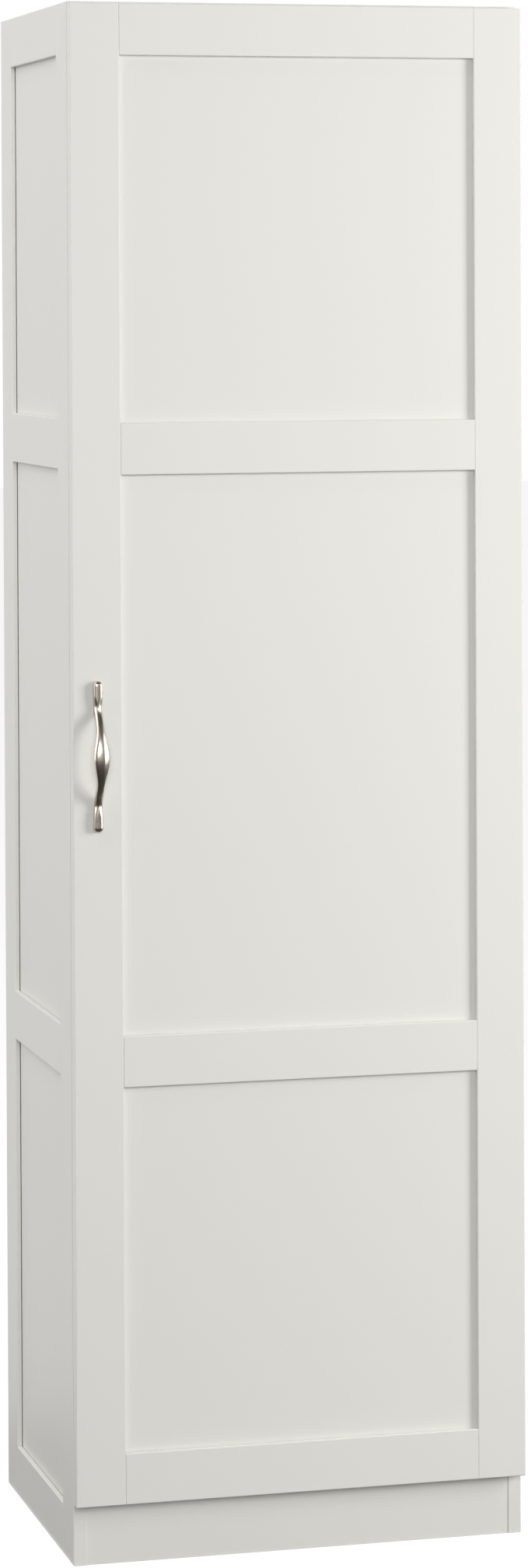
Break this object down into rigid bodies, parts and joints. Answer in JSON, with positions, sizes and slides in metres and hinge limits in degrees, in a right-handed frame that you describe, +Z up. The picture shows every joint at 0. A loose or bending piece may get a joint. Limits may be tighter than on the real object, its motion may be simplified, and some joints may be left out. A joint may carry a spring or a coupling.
{
  "type": "broom cupboard",
  "caption": "Tall narrow broom cupboard in off-white with frame-and-panel door and sides, a bowed nickel pull, a broom bay and narrow loose shelves inside.",
  "frame": {"origin": "on the floor, at the middle of the cupboard's width and of its depth with the handle", "axes": "+Z up, +X to the right as seen from the front, +Y back to the wall; the door faces -Y"},
  "size_m": [0.54, 0.4304, 1.8],
  "materials": {
    "satin_paint": "off-white satin paint on board",
    "white_board": "white faced board",
    "hardboard": "hardboard, white on the inside",
    "satin_nickel": "satin nickel plate",
    "plated_steel": "nickel plate",
    "zinc_fittings": "zinc plate",
    "beech": "bare beech",
    "bumper_rubber": "soft clear-white rubber"
  },
  "bodies": {
    "carcass": {"left_front_stile": "satin_paint", "left_rear_stile": "satin_paint", "left_rail_bottom": "satin_paint", "left_rail_lower": "satin_paint", "left_rail_upper": "satin_paint", "left_rail_top": "satin_paint", "left_panel_lower": "satin_paint", "left_panel_middle": "satin_paint", "left_panel_upper": "satin_paint", "right_front_stile": "satin_paint", "right_rear_stile": "satin_paint", "right_rail_bottom": "satin_paint", "right_rail_lower": "satin_paint", "right_rail_upper": "satin_paint", "right_rail_top": "satin_paint", "right_panel_lower": "satin_paint", "right_panel_middle": "satin_paint", "right_panel_upper": "satin_paint", "top_board": "white_board", "bottom_board": "white_board", "upper_shelf": "white_board", "divider": "white_board", "fixing_rail": "white_board", "kick_board": "satin_paint", "back_board": "hardboard", "back_nails": "zinc_fittings", "cam_locks": "zinc_fittings", "cam_bolts": "zinc_fittings", "dowels": "beech", "shelf_pins": "zinc_fittings", "hinge_arms": "plated_steel", "hinge_plates": "plated_steel", "hinge_plate_screws": "zinc_fittings", "hinge_arm_screws": "zinc_fittings", "door_bumpers": "bumper_rubber"},
    "door": {"door_handle_stile": "satin_paint", "door_hinge_stile": "satin_paint", "door_rail_bottom": "satin_paint", "door_rail_lower": "satin_paint", "door_rail_upper": "satin_paint", "door_rail_top": "satin_paint", "door_panel_lower": "satin_paint", "door_panel_middle": "satin_paint", "door_panel_upper": "satin_paint", "handle": "satin_nickel", "handle_screws": "zinc_fittings", "hinge_cups": "plated_steel", "hinge_pins": "plated_steel", "hinge_cup_screws": "zinc_fittings"},
    "shelf_lower": {"shelf_lower": "white_board"},
    "shelf_middle": {"shelf_middle": "white_board"},
    "shelf_upper": {"shelf_upper": "white_board"}
  },
  "joints": [
    {"name": "door_hinge", "type": "hinge", "parent": "carcass", "child": "door", "pos_m": [0.2625, -0.1783, 0.9345], "axis": [0, 0, 1], "range_deg": [0, 95]},
    {"name": "shelf_lower_lift", "type": "slide", "parent": "carcass", "child": "shelf_lower", "axis": [0, 0, 1], "range_m": [0, 0.032]},
    {"name": "shelf_middle_lift", "type": "slide", "parent": "carcass", "child": "shelf_middle", "axis": [0, 0, 1], "range_m": [0, 0.032]},
    {"name": "shelf_upper_lift", "type": "slide", "parent": "carcass", "child": "shelf_upper", "axis": [0, 0, 1], "range_m": [0, 0.032]}
  ]
}
